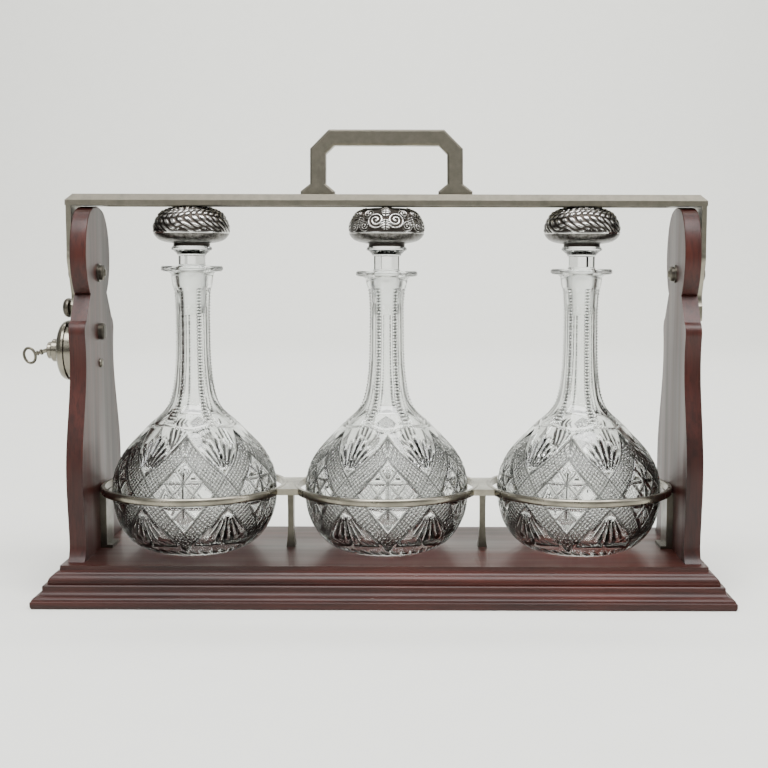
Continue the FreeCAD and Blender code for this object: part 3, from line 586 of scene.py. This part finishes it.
def globe_cuts(theta, arc, radius, height):
    """How deep the globe is hollowed by the neck's flutes, and how deep by its own cuts: diamonds,
    hatching, stars, fans and foot petals."""
    cut = settings().cut
    wide, deep = cut.mitre_width / MM, cut.mitre_depth / MM
    pitch, hatch = cut.hatch_pitch / MM, cut.hatch_depth / MM
    half = math.pi / cut.repeats
    fold = np.abs(nearest(theta, 2 * half))  # 0 in the middle of a diamond, half between two
    share = fold / half
    heights, arcs = height[:, 0], arc[:, 0]

    def arc_at(z):
        return np.interp(z, heights, arcs)

    def line(ends, shift=0.0):
        """Signed distance from a mitre line, positive above it."""
        z = ends[0] + (ends[1] - ends[0]) * share + shift
        rise = (arc_at(z + 0.5) - arc_at(z - 0.5)) * (ends[1] - ends[0]) / half
        return (arc - arc_at(z)) / np.sqrt(1 + (rise / radius) ** 2)

    top, inner, low, foot = line(OUTER_TOP), line(INNER_TOP), line(INNER_LOW), line(OUTER_LOW)
    depth = np.zeros(np.broadcast(theta, arc).shape)
    for edge in (top, inner, low, foot):
        depth = np.maximum(depth, vee(edge, wide, deep))

    # Fine diamonds in the two crossing bands.
    in_band = ((top < 0) & (inner > 0)) | ((low < 0) & (foot > 0))
    for edge in (top, low):
        depth = np.maximum(depth, vee(nearest(edge, pitch), pitch / 2, hatch) * in_band)

    # Stars in the middle diamond: level, upright and slanting cuts through two centres.
    in_diamond = (inner < 0) & (low > 0)
    side = radius * fold
    for star in STARS:
        up = arc - arc_at(star)
        upright = vee(side, *STAR_CUT) * (np.hypot(side, up) < STAR_REACH)
        cuts = np.maximum(vee(up, *STAR_CUT), upright)
        for ends in (INNER_TOP, INNER_LOW):
            cuts = np.maximum(cuts, vee(line(ends, star - ends[0]), *STAR_CUT))
        depth = np.maximum(depth, cuts * in_diamond)
    for tip, sign in ((INNER_TOP[0] - TIP_FAN_INSET, -1), (INNER_LOW[0] + TIP_FAN_INSET, 1)):
        cuts = fan(side, sign * (arc - arc_at(tip)), *TIP_FAN, TIP_FAN_DEPTH)
        depth = np.maximum(depth, cuts * in_diamond)

    # Fans that spread up and down from where the bands cross between two diamonds.
    aside = radius * (half - fold)
    fan_depth = cut.fan_depth / MM
    above = fan(aside, arc - arc_at(OUTER_TOP[1]), *UPPER_FAN, fan_depth)
    fade = 1 - eased(height, *UPPER_FAN_ENDS)
    depth = np.maximum(depth, above * (top > FAN_MARGIN) * fade)
    below = fan(aside, arc_at(OUTER_LOW[1]) - arc, *LOWER_FAN, fan_depth)
    depth = np.maximum(depth, below * (foot < -FAN_MARGIN) * eased(height, *LOWER_FAN_ENDS))

    # A waved border over the fans and slanting petals round the foot.
    border = arc_at(BORDER) - BORDER_WAVE * np.cos(math.pi * share)
    depth = np.maximum(depth, vee(arc - border, *BORDER_CUT))
    petal = (theta * PETALS / TURN + (arc - arc[0]) * PETAL_SLANT) % 1.0 - 0.5
    petals = np.clip(1 - (petal / PETAL_HALF) ** 2, 0, None) * PETAL_DEPTH
    depth = np.maximum(depth, petals * window(height, *PETAL_BAND))
    hollow, marks = flutes(theta, arc, radius, height)
    return hollow, depth + marks


def fan(aside, ahead, rays, start, end, depth):
    """Cuts that radiate from a point, at the given bearings on both sides of straight ahead."""
    reach = np.hypot(aside, ahead)
    bearing = np.degrees(np.arctan2(aside, ahead))
    cuts = 0 * reach
    for k, ray in enumerate(rays):
        off = np.radians(np.abs(bearing - ray)) * reach
        body = vee(off, RAY_HALF + RAY_SPREAD * reach, depth)
        last = end * (1 - RAY_LOSS * k)
        cuts = np.maximum(cuts, body * window(reach, start, last, rise=5, fall=6))
    return cuts


def flutes(theta, arc, radius, height):
    """How deep the neck is hollowed by its flat flutes, which die out on the shoulder, and how deep
    by the notches and grooves of the ridges between them."""
    cut = settings().cut
    half = math.pi / cut.repeats
    fold = np.abs(nearest(theta, 2 * half))
    flat = radius * (1 - math.cos(half) / np.cos(fold))
    hollow = FLUTE_SHARE * flat * window(height, FLUTE_LOW, FLUTE_HIGH, *FLUTE_EASE)
    from_ridge = radius * (half - fold)
    pitch = cut.notch_pitch / MM
    notch = vee(nearest(height, pitch), pitch / 2, NOTCH_DEPTH)
    notch = notch * np.clip(RIDGE_HALF - from_ridge, 0, 1)
    groove = vee(from_ridge - GROOVE_AT, *GROOVE_CUT)
    return hollow, (notch + groove) * window(height, FLUTE_LOW, FLUTE_HIGH, *RIDGE_EASE)


def decanter_mesh(lip_top):
    """A decanter, cut outside and smooth inside, whose lip reaches the given height."""
    columns = settings().cut.columns
    neck_columns = columns // 4
    lip_low = lip_top - LIP_THICK
    outline = smooth_line(GLOBE_OUTLINE + [(15.2, lip_low - 2.6)], CLOSE)
    globe = outline[outline[:, 1] < SHOULDER]
    neck = outline[outline[:, 1] >= SHOULDER]
    underside = straight_line([(28.0, FOOT + HOLLOW_FOOT), (31.0, FOOT), (34.6, FOOT)], COARSE)
    under_lip = [
        (15.4, lip_low - 2.2),
        (15.9, lip_low - 1.3),
        (17.2, lip_low - 0.6),
        (20.9, lip_low),
    ]
    edge = [
        (21.3, lip_low + 0.1),
        (LIP_RADIUS, lip_low + 1.0),
        (LIP_RADIUS, lip_top - 1.0),
        (21.4, lip_top),
    ]
    mouth = plug_radius(lip_top) + 0.1
    socket = [
        (20.8, lip_top),
        (mouth + 0.6, lip_top),
        (mouth, lip_top - 0.6),
        (8.5, 204.0),
        GLOBE_INSIDE[0],
    ]
    plain = [
        smooth_line(under_lip, 0.5),
        straight_line(edge, 1.0),
        straight_line(socket, COARSE),
        smooth_line(GLOBE_INSIDE, COARSE)[1:],
    ]
    painted_cut_shade = []

    def carve(pattern):
        """The pattern as one depth, keeping how deep its cuts are for the shade painted into the
        glass's colour.
        """

        def depth(theta, arc, radius, height):
            hollow, marks = pattern(theta, arc, radius, height)
            painted_cut_shade.append(np.broadcast_to(marks, hollow.shape).ravel())
            return hollow + marks

        return depth

    rings = [point_ring(FOOT + HOLLOW_FOOT), *turned_rows(underside, columns)]
    below = sum(len(ring) for ring in rings)
    rings += [*turned_rows(globe, columns, carve(globe_cuts))]
    rings += [*turned_rows(neck, neck_columns, carve(flutes))]
    rings += [*turned_rows(np.concatenate(plain), neck_columns), point_ring(GLOBE_FLOOR)]
    mesh = make_mesh("cut_decanter", *skin(rings), sharp=50)
    # Painted shade: how deep each cut lies, as a share of the mitre depth, which darkens the glass
    # there.
    values = np.zeros(len(mesh.vertices))
    marks = np.concatenate(painted_cut_shade) * MM / settings().cut.mitre_depth
    values[below : below + len(marks)] = marks
    record(mesh, "cut", values)
    return mesh


class STAND_OT_decanters(bpy.types.Operator):
    """Makes the three cut-glass decanters"""

    bl_idname = "stand.decanters"
    bl_label = "Decanters"

    def execute(self, context):
        # This glass paints shade darker into its deep cuts.
        glass = crystal("cut_crystal", paints_cut_shade=True)
        turns = {"left": 2, "middle": 2.5, "right": -15}  # degrees
        for side in SIDES:
            mesh = decanter_mesh(LIP_TOPS[side])
            node, body, turn = "decanter_" + side, "bottle_" + side, math.radians(turns[side])
            place("cut_decanter_" + side, mesh, [glass], node, body, turn)
        return {"FINISHED"}


# ---------------------------------------------------------------- stoppers
SHAFT_HIGH = 239.2  # height of the upper end of the faceted shaft
SHAFT_APOTHEM = 9.0
FACETS = 8
CAP_SEAT = 246.4  # height where the cap sits on the glass
CORE_RADIUS, CORE_TOP = 8.0, 258.0  # the glass peg inside the cap
STOPPER_COLUMNS = 96
GROUND_FROM, GROUND_TO = 7.0, 1.0  # the ground part's distances from the plug's tip and the lip


def stopper_mesh(lip_top):
    """A stopper with a ground plug, a faceted shaft and a flange, for a lip of the given height."""
    shaft_low = lip_top + 1.2
    half = math.pi / FACETS
    corner = SHAFT_APOTHEM / math.cos(half)

    def facets(theta, arc, radius, height):
        """Flat sides between the plug and the flange."""
        fold = np.abs(nearest(theta, 2 * half))
        on_shaft = (height > shaft_low - 0.01) & (height < SHAFT_HIGH + 0.01)
        return np.where(on_shaft, radius - SHAFT_APOTHEM / np.cos(fold), 0)

    plug = [
        (7.3, PLUG_TIP),
        (7.95, PLUG_TIP + 1.0),
        (plug_radius(lip_top), lip_top),
        (9.9, shaft_low - 0.3),
    ]
    shaft = [(corner, shaft_low), (corner, SHAFT_HIGH)]
    cove = [(10.1, SHAFT_HIGH + 0.2), (10.7, 240.6), (11.8, 241.7), (13.0, 242.8), (14.2, 243.5)]
    rim = [
        (14.6, 243.9),
        (14.6, 244.9),
        (13.6, CAP_SEAT),
        (CORE_RADIUS, CAP_SEAT),
        (CORE_RADIUS, CORE_TOP),
    ]
    runs = (
        straight_line(plug, COARSE),
        straight_line(shaft, COARSE),
        smooth_line(cove, 0.5),
        straight_line(rim, 2.5),
    )
    rings = [point_ring(PLUG_TIP)]
    for run in runs:
        rings += [*turned_rows(run, STOPPER_COLUMNS, facets)]
    rings.append(point_ring(CORE_TOP))
    return make_mesh("stopper", *skin(rings), sharp=22)


class STAND_OT_stoppers(bpy.types.Operator):
    """Makes the three glass stoppers with their ground plugs"""

    bl_idname = "stand.stoppers"
    bl_label = "Glass stoppers"

    def execute(self, context):
        clear, ground = crystal("stopper_crystal"), crystal("ground_crystal", rough=0.28)
        for side in SIDES:
            mesh = stopper_mesh(LIP_TOPS[side])
            for face in mesh.polygons:
                z = face.center[2] / MM
                ground_here = PLUG_TIP + GROUND_FROM < z < LIP_TOPS[side] - GROUND_TO
                face.material_index = int(ground_here)
            node, body = "stopper_glass_" + side, "stopper_" + side
            place("glass_stopper_" + side, mesh, [clear, ground], node, body)
        return {"FINISHED"}


# ---------------------------------------------------------------- caps
CAP_OUTLINE = [
    (13.1, 248.3), (17.5, 249.0), (23.9, 251.3), (26.9, 255.0), (27.8, 259.4), (26.3, 264.8),
    (24.7, 267.8), (23.2, 270.0), (20.7, 271.9), (17.5, 273.3), (15.0, 274.2), (8.0, 274.4),
    (0.4, 274.55),
]
CAP_COLUMNS = 360
CAP_STEP = 0.38  # spacing of the dome's rows
CAP_PLAIN = 256.5  # height below which the cap is left plain
EMBOSS_DEPTH = 0.95  # how far the hollows lie below the raised parts, in millimetres
COLLAR_PAINTED_SHADE, UNDERSIDE_PAINTED_SHADE = 0.95, 0.50  # painted shade of the parts without embossing: the collar under the dome and the plain underside
COLLAR_OUTLINE = [(8.1, CAP_SEAT), (13.1, CAP_SEAT), (13.1, 248.0)]

# The embossing is drawn by distance round the cap and distance up its outline, in millimetres.
CAP_GIRTH = 25.0  # radius that turns angles into distances round the cap
CROWN_GIRTH = 12.0  # the same for its top
RIB = 29.0  # place of the leafy caps' midrib, up the outline
RIB_HALF = 0.5
PAIRS = 4  # pairs of scrolls round the other cap
PAIR_MIDDLE = 26.5  # their place up the outline
# Each scroll of a pair: how far aside of and above the middle it lies, its size and its hand.
SCROLLS = ((6.8, 0.0, 6.4, 1), (14.0, 5.5, 4.6, -1), (15.0, -4.5, 4.2, 1))
# Leaves of a pair: up (1) or down (-1), start above the middle, place aside, length, breadth and
# number of lobes.
LEAVES = (
    (1, 2.0, 0.0, 14.0, 4.5, 6.0),
    (-1, 1.0, 0.0, 9.0, 4.2, 5.0),
    (-1, 3.0, 19.6, 9.0, 4.0, 5.0),
)


def leaf(u, v, long, broad, lobes):
    """Height of an acanthus leaf lying along u, 0 to 1 at its surface and -1 outside it."""
    share = u / long
    edge = broad * np.sin(math.pi * np.clip(share, 0, 1)) ** 0.6
    inside = (share > 0) & (share < 1) & (np.abs(v) < edge)
    phase = u * lobes / long - 0.85 * np.abs(v) / broad
    lobe = np.abs(np.sin(math.pi * phase)) ** 0.7
    rim = 1 - 0.35 * np.abs(v) / np.maximum(edge, 1e-6)
    rib = np.clip(np.abs(v) / 0.55, 0, 1)
    return np.where(inside, np.maximum(0.12, lobe * rim) * (0.25 + 0.75 * rib), -1.0)


def scroll(u, v, size, hand):
    """Height of a spiral scroll about the origin of u, v, with -1 outside it."""
    reach = np.hypot(u, v)
    bearing = np.arctan2(v, u * hand)
    wave = 0.5 + 0.5 * np.cos(bearing + TURN * reach / (size * 0.42))
    return np.where(reach < size, wave * (1 - 0.25 * reach / size), -1.0)


def leaflets(theta, girth, away, count, long, sweep):
    """Height of leaflets hung from a rib: up to 1 on their backs, 0 between them and -1 past their
    ends. away is the distance from the rib and girth turns the angle into a distance along it."""
    share = away / long
    phase = (theta * girth - sweep * away * (0.4 + share)) * count / (TURN * girth)
    across = np.abs(np.sin(math.pi * phase)) * (0.82 + 0.18 * np.cos(6 * math.pi * phase))
    inside = (share > 0) & (share < 0.70 + 0.30 * across**0.6)
    curl = 0.55 + 0.45 * np.cos(TURN * (share - 0.15) * 1.25) ** 2
    return np.where(inside, across**0.7 * curl, -1.0)


def leaf_emboss(theta, arc):
    """A waving midrib round the cap with long swept leaflets below it and small ones above."""
    rib = RIB + 1.6 * np.sin(3 * theta + 0.6)
    span = 12.0 + 1.8 * np.sin(7 * theta) + 1.2 * np.sin(11 * theta + 1)
    below = leaflets(theta, CAP_GIRTH, rib - RIB_HALF - arc, count=30, long=span, sweep=0.9)
    above = leaflets(theta, CAP_GIRTH, arc - rib - RIB_HALF, count=33, long=8.5, sweep=0.9)
    crown = leaflets(theta, CROWN_GIRTH, arc - rib - 9.5, count=24, long=10.0, sweep=0.2)
    midrib = np.where(np.abs(arc - rib) < RIB_HALF, 0.25, -1.0)
    return np.maximum(np.maximum(below, above), np.maximum(crown, midrib))


def scroll_emboss(theta, arc):
    """Paired scrolls with leaves between them."""
    best = -np.ones(np.broadcast(theta, arc).shape)
    rise = arc - PAIR_MIDDLE
    for k in range(PAIRS):
        around = nearest(theta + math.pi / 2 - k * TURN / PAIRS, TURN) * CAP_GIRTH
        for hand in (-1, 1):
            for aside, up, size, way in SCROLLS:
                best = np.maximum(best, scroll(around - hand * aside, rise - up, size, hand * way))
        for way, start, aside, *shape in LEAVES:
            best = np.maximum(best, leaf(way * (rise - start), around - aside, *shape))
    return best


def cap_mesh(name, pattern):
    """A domed cap on a collar, embossed with the pattern above its plain underside; the underside
    and the collar are painted darker, as shade.
    """
    oxide_and_painted_shade = []

    def emboss(theta, arc, radius, height):
        raised = np.clip(pattern(theta, arc), 0, None)
        zone = eased(height, CAP_PLAIN - 1.2, CAP_PLAIN + 1.2) * eased(radius, 3.0, 6.0)
        depth = (1 - raised) * zone
        # Oxide in the embossed hollows, and painted shade on the plain underside.
        oxide_and_painted_shade.append(np.where(height < CAP_PLAIN - 1.0, UNDERSIDE_PAINTED_SHADE, depth).ravel())
        return depth * EMBOSS_DEPTH

    collar = turned_rows(straight_line(COLLAR_OUTLINE, 0.8), CAP_COLUMNS)
    dome = turned_rows(smooth_line(CAP_OUTLINE, CAP_STEP), CAP_COLUMNS, emboss)
    mesh = make_mesh(name, *skin([*collar, *dome, point_ring(CAP_OUTLINE[-1][1])]), sharp=55)
    # Painted shade on the collar under the dome.
    collar_painted_shade = np.full(len(collar) * CAP_COLUMNS, COLLAR_PAINTED_SHADE)
    record(mesh, "hollow", np.concatenate([collar_painted_shade, *oxide_and_painted_shade, [0.0]]))
    return mesh


class STAND_OT_caps(bpy.types.Operator):
    """Makes the embossed silver caps of the stoppers"""

    bl_idname = "stand.caps"
    bl_label = "Silver caps"

    def execute(self, context):
        silver = embossed_silver()
        leafy = cap_mesh("leaf_cap", leaf_emboss)
        scrolled = cap_mesh("scroll_cap", scroll_emboss)
        meshes = {"left": leafy, "middle": scrolled, "right": leafy}
        turns = {"left": 8, "middle": 0, "right": -20}  # degrees
        for side in SIDES:
            node, body, turn = "stopper_cap_" + side, "stopper_" + side, math.radians(turns[side])
            place("silver_cap_" + side, meshes[side], [silver], node, body, turn)
        return {"FINISHED"}


# ---------------------------------------------------------------- cradle
HOOP_WIDTH = 3.7  # from the bulging outside to the flat inside
HOOP_ROUND = 0.9  # how far the bulge's rounding reaches from its two edges
HOOP_SAG = 0.25  # how far the bulge falls back where the rounding starts
HOOP_CHAMFER = 0.4  # of the inside's two edges
HOOP_COLUMNS = 240


def hoop_mesh():
    """The hoop that holds a decanter, with the outside and height of the CAD ring."""
    low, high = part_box("ring_middle")
    bottom, top, outer = low[2] / MM, high[2] / MM, high[0] / MM
    inner = outer - HOOP_WIDTH
    bulge = [
        (outer - HOOP_ROUND, bottom),
        (outer - HOOP_SAG, bottom + HOOP_ROUND),
        (outer, (bottom + top) / 2),
        (outer - HOOP_SAG, top - HOOP_ROUND),
        (outer - HOOP_ROUND, top),
    ]
    inside = [
        (inner + HOOP_CHAMFER, top),
        (inner, top - HOOP_CHAMFER),
        (inner, bottom + HOOP_CHAMFER),
        (inner + HOOP_CHAMFER, bottom),
    ]
    section = np.concatenate([smooth_line(bulge, 0.5), inside, bulge[:1]])
    mesh = make_mesh("hoop", *skin([*turned_rows(section, HOOP_COLUMNS)]), sharp=40)
    weld(mesh)
    return mesh


class STAND_OT_cradle(bpy.types.Operator):
    """Makes the three hoops and finishes the bridges, pillars and brackets"""

    bl_idname = "stand.cradle"
    bl_label = "Cradle"

    def execute(self, context):
        nickel = settings().finish.nickel
        metal = plate("cradle_plate", nickel, rough=0.27)
        mesh = hoop_mesh()
        for side in SIDES:
            place("hoop_" + side, mesh, [metal], "ring_" + side, "stand")
        finish_nodes(["bridge_left", "bridge_right"], metal)
        # Painted shade: the pillars and brackets take a darker copy of the bridges' plate.
        darker_plate = plate("cradle_shadowed_plate", scaled(nickel, 0.45), rough=0.34)
        finish_nodes(["pillar_left", "pillar_right", "end_bracket_left", "end_bracket_right"], darker_plate)
        return {"FINISHED"}


# ---------------------------------------------------------------- locking bar, pivots and lock
class STAND_OT_bar(bpy.types.Operator):
    """Finishes the locking bar, its arms and handle"""

    bl_idname = "stand.bar"
    bl_label = "Locking bar"

    def execute(self, context):
        metal = plate("satin_plate", settings().finish.nickel, rough=0.33)
        finish_nodes(["top_bar", "bar_lip_front", "bar_lip_back"], metal)
        finish_nodes(["bar_end_left", "bar_end_right", "handle", "arm_left", "arm_right"], metal)
        return {"FINISHED"}


class STAND_OT_fittings(bpy.types.Operator):
    """Finishes the pivots, screws and nuts"""

    bl_idname = "stand.fittings"
    bl_label = "Fittings"

    def execute(self, context):
        finish = settings().finish
        tint = scaled(finish.nickel, 0.62)
        darker_plate = plate("tarnished_fittings", tint, rough=0.38, dark=list(finish.tarnish))
        names = [
            f"pivot_{kind}_{side}"
            for kind in ("bolt", "spacer", "washer", "nut")
            for side in ("left", "right")
        ]
        names += ["thumb_knob", "lock_bolt", "lock_stud", "lock_nut", "lock_screw"]
        names += ["panel_screws", "board_screws", "bracket_screws", "handle_screws"]
        finish_nodes(names, darker_plate)
        return {"FINISHED"}


class STAND_OT_lock(bpy.types.Operator):
    """Finishes the lock and its key"""

    bl_idname = "stand.lock"
    bl_label = "Lock and key"

    def execute(self, context):
        nickel = settings().finish.nickel
        bright = plate("lock_plate", scaled(nickel, 0.85), rough=0.22, dirt=0.5)
        finish_nodes(["lock_backplate", "lock_case", "lock_barrel"], bright)
        finish_nodes(["key"], plate("key_plate", scaled(nickel, 0.7), rough=0.25))
        return {"FINISHED"}


# ---------------------------------------------------------------- stage
BACKDROP_BACK = 2.6  # where the floor starts to curve up, behind the stand
BACKDROP_BEND = 1.2  # radius of that curve
BACKDROP_REACH = 4.0  # half the width, the reach to the front and the height
BEND_STEPS = 16

# Colours of the surroundings near the horizon and overhead, and the rise between them.
SKY_LOW, SKY_HIGH = (0.16, 0.16, 0.155), (0.72, 0.72, 0.69)
SKY_FROM, SKY_TO = -0.1, 0.9

# Rectangular lamps, in metres: place, aim, size. Their powers are settings of the same names.
LAMPS = {
    "overhead": ((0.1, -0.8, 1.9), (0.0, 0.0, 0.1), (2.2, 1.0)),
    "backdrop_wash": ((0.0, 1.2, 2.6), (0.0, 3.4, 0.8), (3.5, 0.8)),
    "front_fill": ((-1.4, -2.0, 1.2), (0.0, 0.0, 0.15), (0.9, 0.9)),
    "side_strip": ((1.5, -0.6, 0.9), (0.0, 0.0, 0.15), (0.4, 1.2)),
}


def backdrop_mesh():
    """Floor that curves up into a backdrop."""
    line = [(-BACKDROP_REACH, 0.0)]
    for angle_here in np.linspace(0, math.pi / 2, BEND_STEPS + 1):
        run, rise = math.sin(angle_here), 1 - math.cos(angle_here)
        line.append((BACKDROP_BACK + BACKDROP_BEND * run, BACKDROP_BEND * rise))
    line.append((BACKDROP_BACK + BACKDROP_BEND, BACKDROP_REACH))
    points = np.array([(x, y, z) for y, z in line for x in (-BACKDROP_REACH, BACKDROP_REACH)]) / MM
    i = np.arange(len(line) - 1) * 2
    return make_mesh("backdrop", points, np.stack([i, i + 1, i + 3, i + 2], 1), NO_TRIANGLES)


def backdrop_paper(floor):
    """Matt paper of the given colour, with faint flecks."""
    s = Shader("backdrop_paper")
    flecks = s.noise(FLECKS, s.where(), detail=2.0)
    base = s.ramp(flecks, [(0.3, scaled(floor, 0.985)), (0.7, floor)])
    return s.principled(Base_Color=base, Roughness=0.85)


def sky():
    """Even surroundings that grow lighter overhead."""
    s = Shader("studio", world=True)
    up = s.node("SeparateXYZ", {0: s.node("TexCoord").outputs["Generated"]}).outputs["Z"]
    here = s.ramp(s.spread(up, 0.0, 1.0, SKY_FROM, SKY_TO), [(0.0, SKY_LOW), (1.0, SKY_HIGH)])
    return s.surface(s.node("Background", {"Color": here}).outputs[0])


def area_light(name, at, aim, size, watts):
    """A rectangular lamp that faces its aim."""
    light = bpy.data.lights.new(name, "AREA")
    light.shape = "RECTANGLE"
    light.size, light.size_y = size
    light.energy = watts
    lamp = bpy.data.objects.new(name, light)
    bpy.context.scene.collection.objects.link(lamp)
    lamp.location = at
    lamp.rotation_euler = (Vector(aim) - Vector(at)).to_track_quat("-Z", "Y").to_euler()


class STAND_OT_stage(bpy.types.Operator):
    """Sets the floor, the light and the camera"""

    bl_idname = "stand.stage"
    bl_label = "Stage"

    def execute(self, context):
        studio = settings().studio
        scene = context.scene
        mesh = backdrop_mesh()
        mesh.materials.append(backdrop_paper(studio.floor))
        backdrop = bpy.data.objects.new("backdrop", mesh)
        scene.collection.objects.link(backdrop)

        scene.world = sky()
        for name, (at, aim, size) in LAMPS.items():
            area_light(name, at, aim, size, getattr(studio, name))

        data = bpy.data.cameras.new("camera")
        data.lens = studio.lens
        data.shift_x = studio.shift
        data.clip_start = 0.01
        camera = bpy.data.objects.new("camera", data)
        scene.collection.objects.link(camera)
        camera.location = (studio.sideways, -studio.distance, studio.height)
        camera.rotation_euler = (math.pi / 2 - studio.tilt, -studio.roll, studio.pan)
        scene.camera = camera
        return {"FINISHED"}


# ---------------------------------------------------------------- panel and run
OPERATORS = (
    STAND_OT_timber,
    STAND_OT_cradle,
    STAND_OT_decanters,
    STAND_OT_stoppers,
    STAND_OT_caps,
    STAND_OT_bar,
    STAND_OT_fittings,
    STAND_OT_lock,
    STAND_OT_stage,
)


class STAND_PT_panel(bpy.types.Panel):
    """Settings and buttons in the sidebar"""

    bl_idname = "STAND_PT_panel"
    bl_label = "Decanter Stand"
    bl_space_type = "VIEW_3D"
    bl_region_type = "UI"
    bl_category = "Stand"

    def draw(self, context):
        layout = self.layout
        stand = settings()
        for group in (stand.cut, stand.finish, stand.studio):
            box = layout.box()
            for name in group.__annotations__:
                box.prop(group, name)
        for operator in OPERATORS:
            layout.operator(operator.bl_idname)


SETTINGS = (CutSettings, FinishSettings, StudioSettings, StandSettings)
CLASSES = SETTINGS + OPERATORS + (STAND_PT_panel,)


def register():
    for each in CLASSES:
        bpy.utils.register_class(each)
    bpy.types.Scene.decanter_stand = PointerProperty(type=StandSettings)


def unregister():
    del bpy.types.Scene.decanter_stand
    for each in reversed(CLASSES):
        bpy.utils.unregister_class(each)


def main():
    """Runs every operator in turn."""
    register()
    for operator in OPERATORS:
        group, name = operator.bl_idname.split(".")
        getattr(getattr(bpy.ops, group), name)()


if __name__ == "__main__":
    main()
